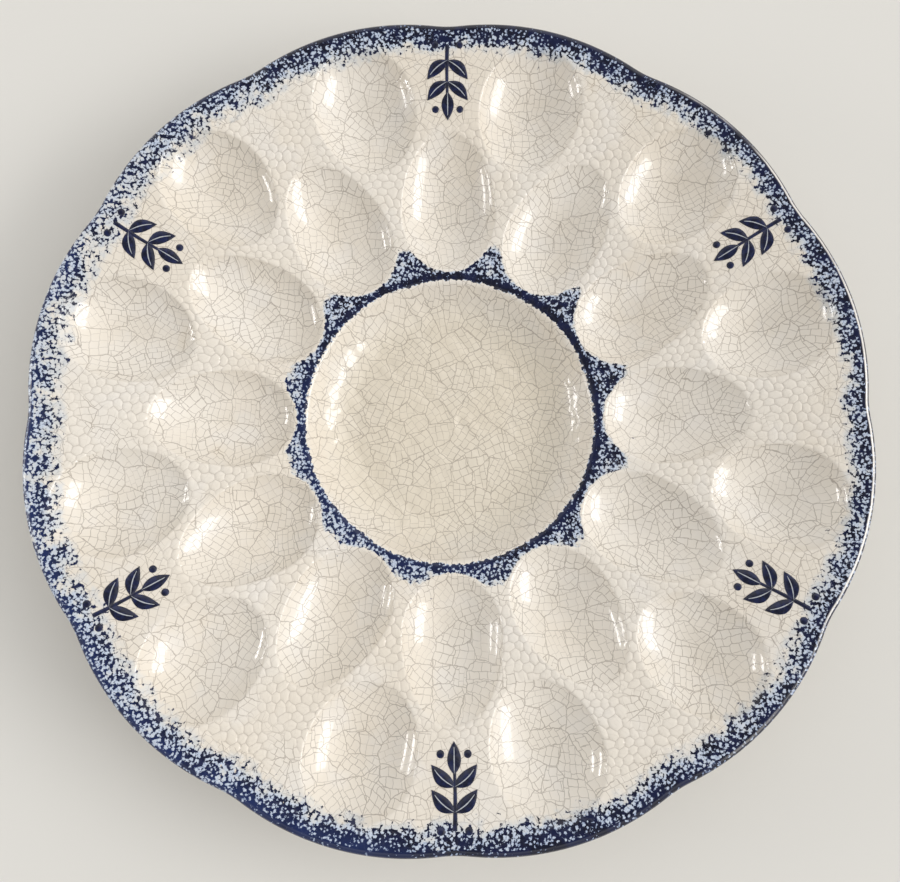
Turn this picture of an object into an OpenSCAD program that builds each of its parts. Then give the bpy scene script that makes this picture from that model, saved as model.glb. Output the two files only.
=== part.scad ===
// Round ceramic serving platter for halved eggs: a dip dish in the middle, two rings of egg wells
// whose slim ends interlock, a lobed rim, and colour laid on the rim, the collar and the lands.
// The origin is on the table under the middle of the foot ring, +Z is up, and an inner well lies on +X.

/* [Rim] */
// Radius to the tip of a rim lobe
rim_r = 170; // [167:0.5:176]
// Height of the upper face at a lobe tip
rim_h = 44; // [41:0.5:48]
// Radius of the round that forms one rim lobe
lobe_r = 110; // [104:1:118]
// Thickness of the casting
wall = 5; // [4:0.25:5.5]

/* [Dip dish] */
// Radius of the crest of the collar around the dish
collar_r = 62; // [60.5:0.25:62.5]
// Height of that crest
collar_h = 22.9; // [21.5:0.1:25]
// Depth of the dish below the crest
dish_depth = 14.4; // [12:0.1:15]
// Radius of the hollow round between the dish floor and its wall
dish_hollow_r = 22; // [19:0.5:25]
// Radius of the round on the crest
crest_r = 4; // [3:0.25:4.5]

/* [Foot ring] */
// Radius of the middle of the face that rests on the table
foot_r = 46; // [42:0.5:48]
// Width of that face
foot_w = 6; // [4:0.25:8]

/* [Inner wells] */
// Land between the crest of the collar and the blunt end of an inner well
inner_land_w = 2.5; // [2:0.25:4]
// Share of the width between collar and rim from the blunt end to the widest place
inner_blunt_share = 0.222; // [0.205:0.001:0.23]
// Share of that width from the widest place to the slim end
inner_slim_share = 0.324; // [0.305:0.001:0.33]
// Width of an inner well as a share of the way to the next one
inner_w_share = 0.895; // [0.83:0.005:0.905]
// Depth of an inner well below the land
inner_depth = 9; // [8:0.25:10]

/* [Outer wells] */
// Land between the blunt end of an outer well and the tip of its rim lobe
outer_land_w = 8; // [7.5:0.25:10]
// Share of the width between collar and rim from the blunt end to the widest place
outer_blunt_share = 0.222; // [0.205:0.001:0.23]
// Share of that width from the widest place to the slim end
outer_slim_share = 0.2685; // [0.25:0.0005:0.2775]
// Width of an outer well as a share of the way to the next one
outer_w_share = 0.623; // [0.575:0.005:0.63]
// Depth of an outer well below the land
outer_depth = 9.5; // [8:0.25:10.5]

/* [Colour] */
// Thickness of a layer of colour
colour_t = 0.4; // [0.3:0.05:0.6]
// Width of the dark line on the rim's edge
rim_line_w = 2; // [1:0.25:3]
// Width of the sponged band inside that line
rim_band_w = 5; // [3:0.25:5.5]
// How far inside the crest the dark line on the collar starts
collar_line_in = 2; // [1.75:0.25:3]
// Width of that line
collar_line_w = 3.5; // [2:0.25:4]
// Length of a sponged tongue between two inner wells
tongue_l = 8; // [5:0.5:9]
// Width of a tongue where it meets the line
tongue_root_w = 14; // [8:0.5:15]
// Width of a tongue at its tip
tongue_tip_w = 3; // [2:0.25:3.25]

/* [Leaf sprigs] */
// Clearance between the sponged band and the start of a sprig's stem
sprig_clear = 1.4; // [1.3:0.1:4]
// Length of the stem
stem_l = 20.5; // [16:0.5:21]
// Width of the stem
stem_w = 1.4; // [1:0.1:2]
// Length of a leaf
leaf_l = 11.5; // [9:0.25:12]
// Width of a leaf
leaf_w = 5.2; // [3.5:0.1:5.5]
// Diameter of a berry
berry_d = 3; // [2:0.1:3.2]
// Distance of a berry from the line of the stem
berry_off = 5.2; // [5:0.1:6]

/* [Hidden] */
// Lobes around the rim, which is also the count of wells in each ring
lobe_count = 12;
sprig_count = 6;
// How sharply the land turns up towards the rim
land_turn_share = 1.25;
// Hairline between the cups of one ring
seam = 0.05;
// Where two slim ends pass each other, as a turn from the widest place to the tip
pass_turn = 48;
// Share of the width between collar and rim that a cup's edge runs along between them
gap_edge_share = 0.111;
// Share of that width left as land beyond the slim end of a well
tip_land_share = 0.074;
// Where the pairs of leaves stand along the stem, and how far the leaves lean from it
pair_shares = [0.3, 0.72];
leaf_lean = 48;
// Where the upper berries stand along the leaf at the tip
berry_share = 0.5;
// Steps along the land, along its underside, along a round of the dish and along half an egg
land_steps = 4;
under_steps = 2;
round_steps = 5;
egg_steps = 4;
// Overrun of every cut
over = 10;
$fn = 96;

cup_turn = 360 / lobe_count;
half_turn = cup_turn / 2;
lobe_at = rim_r - lobe_r;
reach_r = rim_r + over;
collar_line_r = collar_r - collar_line_in;
// Radius to a valley in the inner edge of the sponged band
band_valley_r = lobe_at * cos(half_turn)
    + sqrt(pow(lobe_r - rim_line_w - rim_band_w, 2) - pow(lobe_at * sin(half_turn), 2));
sprig_start_r = band_valley_r - sprig_clear;

// The wells along the radius that they lie on, and their widths
band_w = rim_r - collar_r;
inner_start_r = collar_r + inner_land_w;
inner_blunt_l = band_w * inner_blunt_share;
inner_slim_l = band_w * inner_slim_share;
inner_mid_r = inner_start_r + inner_blunt_l;
inner_stop_r = inner_mid_r + inner_slim_l;
inner_w = 2 * inner_mid_r * sin(half_turn) * inner_w_share;
outer_stop_r = rim_r - outer_land_w;
outer_blunt_l = band_w * outer_blunt_share;
outer_slim_l = band_w * outer_slim_share;
outer_mid_r = outer_stop_r - outer_blunt_l;
outer_start_r = outer_mid_r - outer_slim_l;
outer_w = 2 * outer_mid_r * sin(half_turn) * outer_w_share;
split_r = (collar_r + inner_start_r) / 2;

// The dish: a flat floor, a hollow round and the round of the crest, which meet without a corner
dish_floor_h = collar_h - dish_depth;
dish_turn = acos(1 - dish_depth / (dish_hollow_r + crest_r));
dish_floor_r = collar_r - (dish_hollow_r + crest_r) * sin(dish_turn);
hollow_mid_h = dish_floor_h + dish_hollow_r;
under_round_r = dish_hollow_r + wall;
under_turn = acos((hollow_mid_h - collar_h + wall) / under_round_r);
under_r = dish_floor_r + under_round_r * sin(under_turn);

function steps(from, to, count) = [for (i = [0:count]) from + (to - from) * i / count];
function polar(r, turn) = [r * cos(turn), r * sin(turn)];
function mirrored(points) = [for (i = [len(points) - 1:-1:0]) [points[i][0], -points[i][1]]];
function turned(points, turn) =
    [for (p = points) [p[0] * cos(turn) - p[1] * sin(turn), p[0] * sin(turn) + p[1] * cos(turn)]];
function but_first(points) = [for (i = [1:len(points) - 1]) points[i]];

// Height of the land that rises from the collar to the rim
function land_h(r) =
    collar_h + (rim_h - collar_h) * pow(max(r - collar_r, 0) / (rim_r - collar_r), land_turn_share);

// Points of the upper face from the axis outwards, with the whole face raised
function upper_face(raised) = concat(
    [[0, dish_floor_h + raised]],
    [for (a = steps(0, dish_turn, round_steps))
        [dish_floor_r + (dish_hollow_r - raised) * sin(a), hollow_mid_h - (dish_hollow_r - raised) * cos(a)]],
    [for (a = steps(dish_turn, 0, round_steps))
        if (a < dish_turn)
            [collar_r - (crest_r + raised) * sin(a), collar_h - crest_r + (crest_r + raised) * cos(a)]],
    [for (r = steps(collar_r, reach_r, land_steps))
        if (r > collar_r) [r, land_h(r) + raised]]);

// Points of the underside from beyond the rim inwards to the axis
under_face = concat(
    [for (r = steps(reach_r, under_r, under_steps)) [r, land_h(r) - wall]],
    [for (a = steps(under_turn, 0, round_steps))
        if (a < under_turn) [dish_floor_r + under_round_r * sin(a), hollow_mid_h - under_round_r * cos(a)]],
    [[0, dish_floor_h - wall]]);

// The places where a pair of slim ends pass, seen from above, and the land between them
inner_pass = [inner_mid_r + inner_slim_l * sin(pass_turn), inner_w / 2 * cos(pass_turn)];
outer_pass_flat = [outer_mid_r - outer_slim_l * sin(pass_turn), -outer_w / 2 * cos(pass_turn)];
outer_pass = turned([outer_pass_flat], half_turn)[0];
pass_mid = (inner_pass + outer_pass) / 2;
tip_land = band_w * tip_land_share;
edge_out = [inner_stop_r + tip_land, 0];
edge_in = polar(outer_start_r - tip_land, half_turn);
pass_along = (edge_out - edge_in) / norm(edge_out - edge_in) * band_w * gap_edge_share / 2;

// The edge between an inner cup on +X and the outer cup beside it
cup_edge = [edge_out, pass_mid + pass_along, pass_mid - pass_along, edge_in];

// Everything under the upper face, down to the table. Like the air below, it is turned so that
// its seam lies away from +X, where the cups are made.
module ground(raised) {
    rotate(180) rotate_extrude() polygon(concat(upper_face(raised), [[reach_r, 0], [0, 0]]));
}

// Everything below the underside
module under_air() {
    rotate(180) rotate_extrude() polygon(concat(under_face, [[0, -over], [reach_r, -over]]));
}

// The lower half of an egg turned about +X, with its widest place at the origin
module half_egg(blunt_l, slim_l, half_w) {
    rotate([0, 90, 0])
    rotate(-90)
    rotate_extrude(angle = 180)
    polygon(concat(
        [for (a = steps(-90, 0, egg_steps)) [half_w * cos(a), blunt_l * sin(a)]],
        but_first([for (a = steps(0, 90, egg_steps)) [half_w * cos(a), slim_l * sin(a)]])));
}

// That egg laid along the land, grown on all sides. Its axis lies above the land, so that
// it cuts a well of the given lengths, width and depth.
module laid_egg(blunt_at, mid_at, slim_at, w, depth, grown) {
    round_r = (pow(w / 2, 2) + pow(depth, 2)) / (2 * depth);
    stretch = round_r / (w / 2);
    rise = land_h(slim_at) - land_h(blunt_at);
    run = slim_at - blunt_at;
    blunt_l = abs(mid_at - blunt_at) * stretch;
    slim_l = abs(slim_at - mid_at) * stretch;
    translate([mid_at, 0, land_h(blunt_at) + rise * (mid_at - blunt_at) / run])
    rotate(run > 0 ? 0 : 180)
    rotate([0, -atan2(rise, abs(run)), 0])
    translate([0, 0, round_r - depth])
    half_egg(blunt_l + grown, slim_l + grown, round_r + grown);
}

module inner_egg(grown) {
    laid_egg(inner_start_r, inner_mid_r, inner_stop_r, inner_w, inner_depth, grown);
}

module outer_egg(grown) {
    laid_egg(outer_stop_r, outer_mid_r, outer_start_r, outer_w, outer_depth, grown);
}

// The rim's outline seen from above, drawn in by an inset
module lobed_outline(inset) {
    for (i = [0:lobe_count - 1])
        rotate((i + 1 / 2) * cup_turn) translate([lobe_at, 0]) circle(lobe_r - inset);
}

// One cup's share of the circle, with the hairline to its neighbours
module cup_wedge() {
    far = reach_r / cos(half_turn);
    translate([seam, 0]) polygon([[0, 0], polar(far, -half_turn), polar(far, half_turn)]);
}

module inner_cup_area() {
    difference() {
        intersection() {
            cup_wedge();
            polygon(concat([[0, 0]], mirrored(cup_edge), but_first(cup_edge)));
        }
        circle(split_r);
    }
}

module outer_cup_area() {
    far = reach_r / cos(half_turn);
    edge = turned(mirrored(cup_edge), half_turn);
    intersection() {
        cup_wedge();
        rotate(-half_turn) lobed_outline(0);
        polygon(concat(edge, [polar(far, half_turn), polar(far, -half_turn)], mirrored(but_first(edge))));
    }
}

module inner_cup() {
    difference() {
        intersection() {
            ground(0);
            linear_extrude(rim_h + over) inner_cup_area();
        }
        difference() {
            under_air();
            inner_egg(wall);
        }
        inner_egg(0);
    }
}

module outer_cup() {
    difference() {
        intersection() {
            ground(0);
            linear_extrude(rim_h + over) outer_cup_area();
        }
        difference() {
            under_air();
            outer_egg(wall);
        }
        outer_egg(0);
    }
}

// A layer of colour on the upper face, over the area that the children draw
module colour_layer() {
    difference() {
        intersection() {
            ground(colour_t);
            linear_extrude(rim_h + over) children();
        }
        ground(0);
    }
}

module foot_ring() {
    color("tan")
    rotate_extrude()
    difference() {
        translate([foot_r - foot_w / 2, 0]) square([foot_w, dish_floor_h]);
        polygon(concat(under_face, [[0, rim_h], [reach_r, rim_h]]));
    }
}

module dip_dish() {
    color("ivory")
    rotate_extrude()
    intersection() {
        polygon(concat(upper_face(0), under_face));
        square([split_r, rim_h]);
    }
}

module inner_egg_ring() {
    color("ivory")
    for (i = [0:lobe_count - 1]) rotate(i * cup_turn) inner_cup();
}

module outer_egg_ring() {
    color("ivory")
    for (i = [0:lobe_count - 1]) rotate((i + 1 / 2) * cup_turn) outer_cup();
}

module rim_edge_line() {
    color("midnightblue")
    colour_layer()
    difference() {
        lobed_outline(0);
        lobed_outline(rim_line_w);
    }
}

module rim_sponge_band() {
    color("steelblue")
    colour_layer()
    difference() {
        lobed_outline(rim_line_w);
        lobed_outline(rim_line_w + rim_band_w);
    }
}

module collar_edge_line() {
    color("midnightblue")
    colour_layer()
    difference() {
        circle(collar_line_r + collar_line_w);
        circle(collar_line_r);
    }
}

module collar_sponge_tongues() {
    root_r = collar_line_r + collar_line_w;
    color("steelblue")
    colour_layer()
    for (i = [0:lobe_count - 1])
        rotate((i + 1 / 2) * cup_turn)
        difference() {
            polygon([
                [0, -tongue_root_w / 2], [root_r, -tongue_root_w / 2], [root_r + tongue_l, -tongue_tip_w / 2],
                [root_r + tongue_l, tongue_tip_w / 2], [root_r, tongue_root_w / 2], [0, tongue_root_w / 2]]);
            circle(root_r);
        }
}

// A leaf along +X from the origin, between two equal arcs
module leaf() {
    side_r = (pow(leaf_l / 2, 2) + pow(leaf_w / 2, 2)) / leaf_w;
    translate([leaf_l / 2, 0])
    intersection_for(side = [-1, 1])
        translate([0, side * (side_r - leaf_w / 2)]) circle(side_r);
}

// A sprig along -X from the origin: a stem, pairs of leaves, a leaf at its tip, and berries at both ends
module sprig() {
    translate([-stem_l, -stem_w / 2]) square([stem_l, stem_w]);
    translate([stem_w - stem_l, 0]) rotate(180) leaf();
    for (side = [-1, 1]) {
        for (share = pair_shares)
            translate([-stem_l * share, 0]) rotate(180 + side * leaf_lean) leaf();
        for (along = [0, stem_l + leaf_l * berry_share])
            translate([-along, side * berry_off]) circle(d = berry_d);
    }
}

module leaf_sprigs() {
    color("midnightblue")
    colour_layer()
    for (i = [0:sprig_count - 1])
        rotate((i + 1 / 2) * 360 / sprig_count) translate([sprig_start_r, 0]) sprig();
}

foot_ring();
dip_dish();
inner_egg_ring();
outer_egg_ring();
rim_edge_line();
rim_sponge_band();
collar_edge_line();
collar_sponge_tongues();
leaf_sprigs();
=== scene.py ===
import math
import bmesh
import bpy
import numpy as np
from mathutils import Matrix, Vector


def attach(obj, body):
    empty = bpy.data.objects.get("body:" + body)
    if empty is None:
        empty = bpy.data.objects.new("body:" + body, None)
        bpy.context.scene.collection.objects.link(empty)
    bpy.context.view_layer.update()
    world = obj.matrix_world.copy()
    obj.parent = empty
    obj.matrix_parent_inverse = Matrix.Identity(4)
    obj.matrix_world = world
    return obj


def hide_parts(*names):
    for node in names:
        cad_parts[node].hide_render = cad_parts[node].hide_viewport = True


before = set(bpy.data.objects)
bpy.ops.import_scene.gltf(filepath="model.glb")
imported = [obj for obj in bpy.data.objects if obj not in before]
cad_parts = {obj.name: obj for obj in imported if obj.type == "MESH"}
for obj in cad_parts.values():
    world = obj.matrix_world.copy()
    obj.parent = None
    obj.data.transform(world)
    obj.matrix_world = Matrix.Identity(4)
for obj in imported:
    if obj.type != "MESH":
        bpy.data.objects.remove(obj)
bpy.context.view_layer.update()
mm = 0.001

# the casting, in millimetres as on the drawing
casting = {
    "rimR": 169.85, "rimH": 43.9, "lobeR": 109.85, "lobes": 12, "valleySoft": 1.5,
    "wall": 5.0, "lipHalf": 2.3, "thin": (150.0, 165.0),  # where the wall thins towards the lip
    "collarR": 62.0, "collarH": 22.9, "landTurn": 1.25, "splitR": 63.25,
    "dishDepth": 14.4, "hollowR": 22.0, "crestR": 4.0,
    "waveMid": 116.2, "waveSwing": 15.2,  # where the inner cups meet the outer ones
    "crisp": 50,  # degrees
    "bulge": (3.6, 0.7), "bulgeFrom": (58.0, 62.0),  # the wells from below: wider, and with a tighter edge
}
innerWell = {
    "mid": 88.5, "blunt": 24.4, "slim": 35.6, "halfW": 20.9, "depth": 9.0, "slimTo": 1,
    "edge": 1.3,  # crisper than on the drawing, as the glaze shows it
}
outerWell = {
    "mid": 138.0, "blunt": 24.2, "slim": 29.5, "halfW": 22.4, "depth": 9.5, "slimTo": -1,
    "edge": 1.3,
}
relief = {
    "wobble": 0.10, "wobbleLen": 23.0, "wobbleFrom": (1.0, 6.0),  # from the rim inwards
    "quilt": 0.19, "quiltLen": 7.4, "quiltTo": (54.0, 59.0),  # on the floor of the dish
    "swirlRise": 0.35,
    "swirls": ((1.5, 1.0, 1.3, 4.0, 1), (5.0, 1.0, 1.8, 3.5, -1)),  # place, half widths, up or down
}
stone = {
    "step": 4.0, "rise": 0.27, "dome": 1.4,
    "shore": (0.1, 1.2), "from": (66.0, 72.0), "rim": (3.0, 9.0),  # where they end: wells, collar and rim
    "motifs": (122.0, 132.0), "motifBare": 0.75,  # fewer of them under the sprigs
    "cover": 0.66, "coverSwing": 0.55, "coverLen": 27.0,  # in patches
    # the bends that make the stones uneven: amount, waves along x and y, start, and the way they push
    "bends": ((0.40, 0.10, 0.56, 0.3, 1, 0), (0.60, 0.30, -0.22, 1.9, 1, 0), (0.40, 0.55, 0.12, 2.6, 0, 1),
              (0.65, -0.18, 0.28, 4.1, 0, 1), (0.28, 0.62, 0.64, 5.0, 1, 0),
              (0.28, -0.66, 0.58, 0.9, 0, 1)),
}

collarR, collarH = casting["collarR"], casting["collarH"]
crestR, hollowR = casting["crestR"], casting["hollowR"]
turn12 = 2 * math.pi / casting["lobes"]
dishFloorH = collarH - casting["dishDepth"]
dishTurn = math.acos(1 - casting["dishDepth"] / (hollowR + crestR))
dishFloorR = collarR - (hollowR + crestR) * math.sin(dishTurn)
hollowMidH = dishFloorH + hollowR
underRoundR = hollowR + casting["wall"]
underTurn = math.acos((hollowMidH - collarH + casting["wall"]) / underRoundR)
underR = dishFloorR + underRoundR * math.sin(underTurn)


def smoothStep(low, high, value):
    t = np.clip((value - low) / (high - low), 0, 1)
    return t * t * (3 - 2 * t)


def rimRadius(theta):  # the lobed outline, with its valleys eased
    def lobe(offset):
        reach = casting["rimR"] - casting["lobeR"]
        return reach * np.cos(offset) + np.sqrt(casting["lobeR"] ** 2 - (reach * np.sin(offset)) ** 2)
    near = (theta / turn12) % 1 * turn12 - turn12 / 2
    other = turn12 - np.abs(near)
    first, second, soft = lobe(near), lobe(other), casting["valleySoft"]
    ease = np.maximum(soft - np.abs(first - second), 0) / soft
    return np.maximum(first, second) + ease ** 2 * soft / 4


def waveRadius(theta):  # the winding edge between the two rings of cups
    swing = np.cos(casting["lobes"] * theta)
    return casting["waveMid"] + casting["waveSwing"] * swing * (1.15 - 0.15 * swing ** 2)


def baseHeight(r):  # dish, crest and land without wells
    share = np.maximum(r - collarR, 0) / (casting["rimR"] - collarR)
    land = collarH + (casting["rimH"] - collarH) * share ** casting["landTurn"]
    crest = collarH - crestR + np.sqrt(np.maximum(crestR ** 2 - (collarR - r) ** 2, 0))
    hollow = hollowMidH - np.sqrt(np.maximum(hollowR ** 2 - np.maximum(r - dishFloorR, 0) ** 2, 0))
    joinR = collarR - crestR * math.sin(dishTurn)
    return np.where(r > collarR, land, np.where(r > joinR, crest, hollow))


def baseSlope(r):
    step = 0.01
    return (baseHeight(r + step) - baseHeight(np.maximum(r - step, 0))) / (r + step - np.maximum(r - step, 0))


def wellCut(well, along, across, grow, edge):  # depth of one well at a place seen from above
    u = (along - well["mid"]) * well["slimTo"]
    halfW = well["halfW"] + grow
    length = np.where(u > 0, well["slim"], well["blunt"]) + grow
    reach = np.minimum(np.hypot(u / length, across / halfW), 1) * halfW
    bowl = (halfW ** 2 + well["depth"] ** 2) / (2 * well["depth"]) - edge
    turnAt = bowl * math.sin(math.acos(1 - well["depth"] / (bowl + edge)))
    inside = well["depth"] - bowl + np.sqrt(np.maximum(bowl ** 2 - reach ** 2, 0))
    lip = edge - np.sqrt(np.maximum(edge ** 2 - (halfW - reach) ** 2, 0))
    return np.maximum(np.where(reach < turnAt, inside, lip), 0)


def wellDepth(x, y, grow=0.0, edgeShare=1.0):  # the five wells nearest to a place, joined softly
    theta, r = np.arctan2(y, x), np.hypot(x, y)
    folded = theta - np.round(theta / turn12) * turn12
    total = np.zeros_like(r)
    for well, angles in ((innerWell, (-1, 0, 1)), (outerWell, (-0.5, 0.5))):
        for share in angles:
            a = folded - share * turn12
            total += wellCut(well, r * np.cos(a), r * np.sin(a), grow, well["edge"] * edgeShare) ** 4
    return total ** 0.25


def wellGap(x, y):  # how far a place lies outside the nearest inner well, below zero inside it
    theta, r = np.arctan2(y, x), np.hypot(x, y)
    folded = theta - np.round(theta / turn12) * turn12
    u, across = r * np.cos(folded) - innerWell["mid"], r * np.sin(folded)
    length = np.where(u > 0, innerWell["slim"], innerWell["blunt"])
    return (np.hypot(u / length, across / innerWell["halfW"]) - 1) * innerWell["halfW"]


def stoneGap(x, y):  # stones packed like bubbles: how far a place lies from the nearest joint
    bentX, bentY = np.array(x), np.array(y)
    for amount, kx, ky, start, toX, toY in stone["bends"]:
        push = amount * np.sin(kx * x + ky * y + start)
        bentX, bentY = bentX + push * toX, bentY + push * toY
    w, h = stone["step"], stone["step"] * math.sqrt(3)
    gaps = []
    for shift in (0.0, 0.5):
        ax = np.abs(bentX / w - shift - np.round(bentX / w - shift)) * w
        ay = np.abs(bentY / h - shift - np.round(bentY / h - shift)) * h
        gaps += [np.hypot(ax, ay), np.hypot(w - ax, ay)]
    gaps = np.sort(gaps, axis=0)
    return (gaps[1] - gaps[0]) / 2


def stones(x, y):  # 1 on top of a stone and 0 in the joints
    return 1 - (1 - np.clip(stoneGap(x, y) / stone["dome"], 0, 1)) ** 2


def waves(x, y, length):  # slow unevenness of a hand-finished casting
    k = 2 * math.pi / length
    first = np.sin(k * x + 1.7 * np.sin(0.6 * k * y + 0.4))
    second = np.sin(0.8 * k * y + 1.3 * np.sin(0.7 * k * x + 2.1))
    third = np.sin(0.55 * k * (x + y) + 4.0)
    return (first + second + third) / 3


def stoneLand(x, y, depth):  # where the land is set with stones
    r, theta = np.hypot(x, y), np.arctan2(y, x)
    inset = rimRadius(theta) - r
    onLand = (1 - smoothStep(*stone["shore"], depth)) * smoothStep(*stone["from"], r)
    onLand = onLand * smoothStep(*stone["rim"], inset)
    sixfold = 0.5 - 0.5 * np.cos(casting["lobes"] / 2 * theta)
    motifs = 1 - stone["motifBare"] * smoothStep(*stone["motifs"], r) * sixfold
    cover = stone["cover"] + stone["coverSwing"] * waves(x, y, stone["coverLen"])
    return onLand * motifs * np.clip(cover, 0, 1)


def raised(x, y):  # what stands on the land, or is sunk in it
    r, theta = np.hypot(x, y), np.arctan2(y, x)
    depth = wellDepth(x, y)
    inset = rimRadius(theta) - r
    bubbles = stone["rise"] * stones(x, y) * stoneLand(x, y, depth)
    uneven = relief["wobble"] * waves(x, y, relief["wobbleLen"]) * smoothStep(*relief["wobbleFrom"], inset)
    quilt = relief["quilt"] * waves(x, y, relief["quiltLen"]) * (1 - smoothStep(*relief["quiltTo"], r))
    swirl = sum(way * np.exp(-((x - midX) / wide) ** 2 - ((y - midY) / tall) ** 2)
                for midX, midY, wide, tall, way in relief["swirls"])
    return -depth + bubbles + uneven + quilt + relief["swirlRise"] * swirl


def topPoint(x, y, lift=0.0):  # a point of the glazed upper face
    r = np.maximum(np.hypot(x, y), 1e-6)
    slope = baseSlope(r)
    lean = 1 / np.sqrt(1 + slope ** 2)
    height = raised(x, y) + lift
    outward = -slope * lean * height / r
    return np.stack([x + x * outward, y + y * outward, baseHeight(r) + lean * height], 1)


def topNormal(x, y):
    step = 0.05
    ahead = topPoint(x + step, y) - topPoint(x - step, y)
    aside = topPoint(x, y + step) - topPoint(x, y - step)
    normal = np.cross(ahead, aside)
    return normal / np.linalg.norm(normal, axis=1)[:, None]


def underPoint(x, y):  # a point of the underside, with the bulges of the wells
    r = np.maximum(np.hypot(x, y), 1e-6)
    hollow = hollowMidH - np.sqrt(np.maximum(underRoundR ** 2 - np.maximum(r - dishFloorR, 0) ** 2, 0))
    wall = casting["wall"] - (casting["wall"] - 2 * casting["lipHalf"]) * smoothStep(*casting["thin"], r)
    height = np.where(r > underR, baseHeight(np.maximum(r, collarR)) - wall, hollow)
    slope = np.where(r > collarR, baseSlope(r), 0)
    lean = 1 / np.sqrt(1 + slope ** 2)
    drop = wellDepth(x, y, *casting["bulge"]) * smoothStep(*casting["bulgeFrom"], r)
    shift = np.where(r > collarR, slope * lean * (wall + drop) / r, 0)
    wallDrop = np.where(r > collarR, wall * (1 - lean), 0)
    return np.stack([x + x * shift, y + y * shift, height + wallDrop - lean * drop], 1)


def lipPoint(theta, turn, lift=0.0):  # around the rounded edge of the rim
    half = casting["lipHalf"]
    slope = baseSlope(np.full_like(theta, casting["rimR"]))
    lean = 1 / np.sqrt(1 + slope ** 2)
    rise = slope * lean
    r = rimRadius(theta) - half * (1 + rise)
    out, up = (half + lift) * np.cos(turn), (half + lift) * np.sin(turn) - half
    radius = r + out * lean - up * rise
    height = baseHeight(r) + out * rise + up * lean
    return np.stack([radius * np.cos(theta), radius * np.sin(theta), height], 1)


def lipStart(theta):  # where the upper face turns over into that edge
    slope = baseSlope(np.full_like(theta, casting["rimR"]))
    return rimRadius(theta) - casting["lipHalf"] * (1 + slope / np.sqrt(1 + slope ** 2))


def circle(radius):  # an edge that runs round the middle
    return lambda theta: np.full_like(theta, radius)


def insideRim(width):  # an edge that follows the rim
    return lambda theta: rimRadius(theta) - width


def turnedBy(x, y, angle):
    return x * math.cos(angle) - y * math.sin(angle), x * math.sin(angle) + y * math.cos(angle)


def wrappedGrid(rows, segments):  # a flat grid whose rows run round the platter and close on themselves
    bm = bmesh.new()
    bmesh.ops.create_grid(bm, x_segments=rows, y_segments=segments, size=1)
    flat = np.array([v.co for v in bm.verts])
    row = np.round((flat[:, 0] + 1) / 2 * rows).astype(int) % rows
    column = np.round((flat[:, 1] + 1) / 2 * segments).astype(int) % segments
    return bm, row, column * 2 * math.pi / segments


def shade(bm, crisp):  # smooth faces, and crisp edges where they meet at more than an angle
    for f in bm.faces:
        f.smooth = True
    for e in bm.edges:
        if len(e.link_faces) == 2 and e.calc_face_angle() > math.radians(crisp):
            e.smooth = False


def meshOf(name, bm):
    mesh = bpy.data.meshes.new(name)
    bm.to_mesh(mesh)
    bm.free()
    return mesh


def newObject(name, data):
    made = bpy.data.objects.new(name, data)
    bpy.context.scene.collection.objects.link(made)
    return made


def settle(name, bm, places, plan, onTop, material, nodes, marks=None):
    # puts the points in place, closes seams, gives the upper face its true normals, attaches the piece to the
    # root and hides the parts it stands for
    layers = [bm.verts.layers.float.new(n) for n in ("planX", "planY", "onTop")]
    extra = [(bm.verts.layers.float.new(n), values) for n, values in (marks or {}).items()]
    for k, v in enumerate(bm.verts):
        v.co = places[k] * mm
        v[layers[0]], v[layers[1]], v[layers[2]] = plan[k][0], plan[k][1], onTop[k]
        for layer, values in extra:
            v[layer] = values[k]
    bmesh.ops.remove_doubles(bm, verts=bm.verts[:], dist=1e-7)
    bmesh.ops.dissolve_degenerate(bm, edges=bm.edges[:], dist=1e-8)
    bmesh.ops.recalc_face_normals(bm, faces=bm.faces[:])
    shade(bm, casting["crisp"])
    mesh = meshOf(name, bm)
    count = len(mesh.vertices)
    got = {n: np.zeros(count, np.float32) for n in ("planX", "planY", "onTop")}
    for n in got:
        mesh.attributes[n].data.foreach_get("value", got[n])
        mesh.attributes.remove(mesh.attributes[n])
    normals = np.zeros((count, 3))
    top = got["onTop"] > 0.5
    normals[top] = topNormal(got["planX"][top].astype(float), got["planY"][top].astype(float))
    corner = np.zeros(len(mesh.loops), np.int32)
    mesh.loops.foreach_get("vertex_index", corner)
    starts, sizes = np.zeros(len(mesh.polygons), np.int32), np.zeros(len(mesh.polygons), np.int32)
    mesh.polygons.foreach_get("loop_start", starts)
    mesh.polygons.foreach_get("loop_total", sizes)
    allTop = np.minimum.reduceat(top[corner].astype(np.int8), starts)
    perCorner = np.where(np.repeat(allTop, sizes)[:, None] > 0, normals[corner], 0)
    mesh.normals_split_custom_set(perCorner.astype(np.float32))
    piece = newObject(name, mesh)
    mesh.materials.append(material)
    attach(piece, "root")
    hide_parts(*nodes)
    print(name, "has", sum(sizes - 2), "triangles")


# shared effects as node groups

def newGroup(name, inputs, outputs):
    group = bpy.data.node_groups.new(name, "ShaderNodeTree")
    for way, sockets in (("INPUT", inputs), ("OUTPUT", outputs)):
        for title, kind in sockets:
            group.interface.new_socket(title, in_out=way, socket_type="NodeSocket" + kind)
    return group, group.nodes.new("NodeGroupInput"), group.nodes.new("NodeGroupOutput")


def put(tree, value, socket):  # a link or a plain value
    if isinstance(value, bpy.types.NodeSocket):
        tree.links.new(value, socket)
    else:
        socket.default_value = value


def math2(tree, operation, a, b=0.0):
    node = tree.nodes.new("ShaderNodeMath")
    node.operation = operation
    put(tree, a, node.inputs[0])
    put(tree, b, node.inputs[1])
    return node.outputs[0]


def plus(tree, a, b):
    return math2(tree, "ADD", a, b)


def minus(tree, a, b):
    return math2(tree, "SUBTRACT", a, b)


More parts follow.
